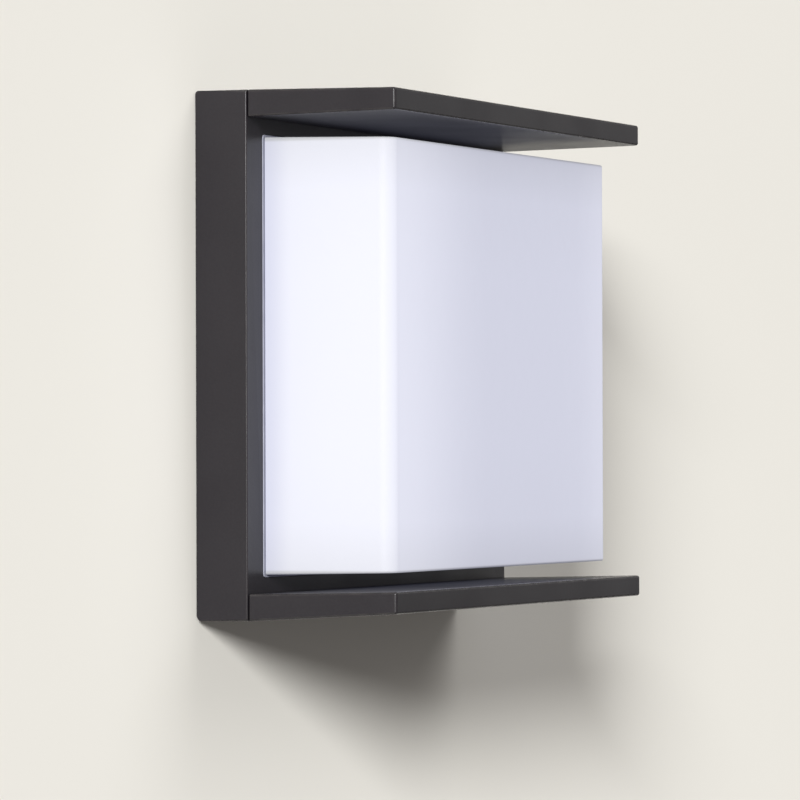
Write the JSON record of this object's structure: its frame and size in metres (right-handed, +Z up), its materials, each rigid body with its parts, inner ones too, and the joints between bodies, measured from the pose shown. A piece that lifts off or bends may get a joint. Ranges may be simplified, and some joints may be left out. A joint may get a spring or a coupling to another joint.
{
  "type": "outdoor wall lantern",
  "caption": "Wide box lantern for an outside wall: a shallow dark housing with a flat plate above and below an opal light box, hung on a steel wall plate.",
  "frame": {"origin": "middle of the wall plate's face on the wall, on the plate's material", "axes": "+X to the right along the wall, +Y into the wall, +Z up; the lantern stands out towards -Y"},
  "size_m": [0.235, 0.0714, 0.175],
  "materials": {
    "powder_coat": "aluminium, anthracite powder coat with a fine texture, semi-gloss",
    "opal_diffuser": "opal polycarbonate, satin, lit evenly from behind",
    "grey_silicone": "grey silicone sheet",
    "black_rubber": "black EPDM rubber",
    "zinc_steel": "bright zinc-plated pressed steel",
    "stainless_steel": "stainless steel screws",
    "brass": "nickel-free brass clamp screws",
    "tinned_brass": "tinned brass crimp",
    "board_white": "aluminium-core board with a white solder mask",
    "white_sheet": "white painted steel sheet",
    "driver_case": "white moulded driver case",
    "block_plastic": "cream polyamide",
    "brown_pvc": "brown wire insulation",
    "blue_pvc": "blue wire insulation",
    "green_yellow_pvc": "green and yellow wire insulation",
    "red_pvc": "red wire insulation",
    "black_pvc": "black wire insulation"
  },
  "bodies": {
    "wall_mount": {"wall_plate": "zinc_steel", "cable_grommet": "black_rubber"},
    "lamp": {"rear_housing": "powder_coat", "wall_gasket": "black_rubber", "top_plate": "powder_coat", "bottom_plate": "powder_coat", "diffuser_gasket": "grey_silicone", "diffuser": "opal_diffuser", "top_plate_screw_left": "stainless_steel", "bottom_plate_screw_left": "stainless_steel", "top_plate_screw_centre": "stainless_steel", "bottom_plate_screw_centre": "stainless_steel", "top_plate_screw_right": "stainless_steel", "bottom_plate_screw_right": "stainless_steel", "diffuser_screw_top_left": "stainless_steel", "diffuser_screw_top_right": "stainless_steel", "diffuser_screw_bottom_left": "stainless_steel", "diffuser_screw_bottom_right": "stainless_steel", "led_board": "board_white", "reflector": "white_sheet", "lead_grommet": "black_rubber", "board_screw_top_left": "stainless_steel", "board_screw_top_right": "stainless_steel", "board_screw_bottom_left": "stainless_steel", "board_screw_bottom_right": "stainless_steel", "led_driver": "driver_case", "driver_screw_left": "stainless_steel", "driver_screw_right": "stainless_steel", "terminal_block": "block_plastic", "terminal_fixing_screw_left": "stainless_steel", "terminal_fixing_screw_right": "stainless_steel", "line_clamp_screw_upper": "brass", "line_clamp_screw_lower": "brass", "neutral_clamp_screw_upper": "brass", "neutral_clamp_screw_lower": "brass", "earth_clamp_screw_upper": "brass", "earth_clamp_screw_lower": "brass", "earth_ring": "tinned_brass", "earth_screw": "stainless_steel", "line_lead": "brown_pvc", "neutral_lead": "blue_pvc", "earth_lead": "green_yellow_pvc", "led_lead_plus": "red_pvc", "led_lead_minus": "black_pvc"},
    "lock_screw_left": {"lock_screw_left": "stainless_steel"},
    "lock_screw_right": {"lock_screw_right": "stainless_steel"}
  },
  "joints": [
    {"name": "lift_off", "type": "slide", "parent": "wall_mount", "child": "lamp", "axis": [0, -1, 0], "range_m": [0, 0.03]},
    {"name": "lock_left", "type": "slide", "parent": "lamp", "child": "lock_screw_left", "axis": [0, 0, -1], "range_m": [0, 0.004]},
    {"name": "lock_right", "type": "slide", "parent": "lamp", "child": "lock_screw_right", "axis": [0, 0, -1], "range_m": [0, 0.004]}
  ]
}
